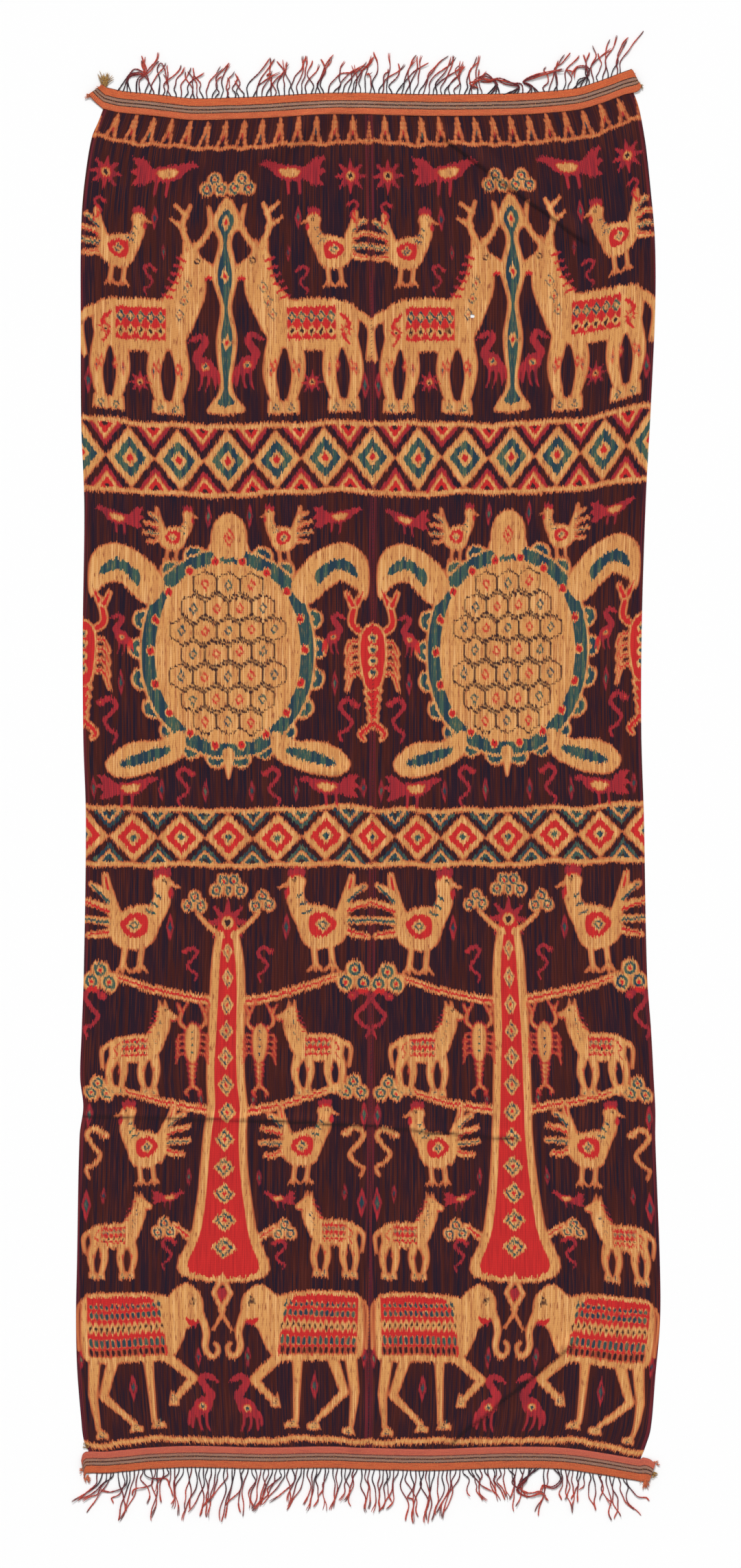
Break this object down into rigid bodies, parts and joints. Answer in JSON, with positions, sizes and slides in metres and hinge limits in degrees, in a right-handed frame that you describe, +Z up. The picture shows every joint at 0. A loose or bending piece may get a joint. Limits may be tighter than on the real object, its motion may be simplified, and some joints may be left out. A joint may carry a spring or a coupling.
{
  "type": "ikat woven cloth",
  "caption": "Long ikat woven cotton mantle laid flat: panels sewn edge to edge, with a striped woven band and a twisted warp fringe at each end.",
  "frame": {"origin": "middle of the cloth's underside, on the surface it lies on", "axes": "+X across the cloth, +Y along the warp towards the end whose corners turn up, +Z up from the surface"},
  "size_m": [1.1218, 2.8698, 0.0078],
  "materials": {
    "ikat_cotton": "matt warp faced ikat cotton in dark aubergine, ochre, crimson and teal",
    "band_cotton": "matt weft faced cotton in orange with taupe and dark stripes",
    "fringe_cotton": "matt twisted cotton yarn, dark at the root and crimson at the tip"
  },
  "bodies": {
    "root": {"panel_left": "ikat_cotton", "panel_right": "ikat_cotton", "band_top": "band_cotton", "band_bottom": "band_cotton", "fringe_top": "fringe_cotton", "fringe_bottom": "fringe_cotton"}
  },
  "joints": []
}
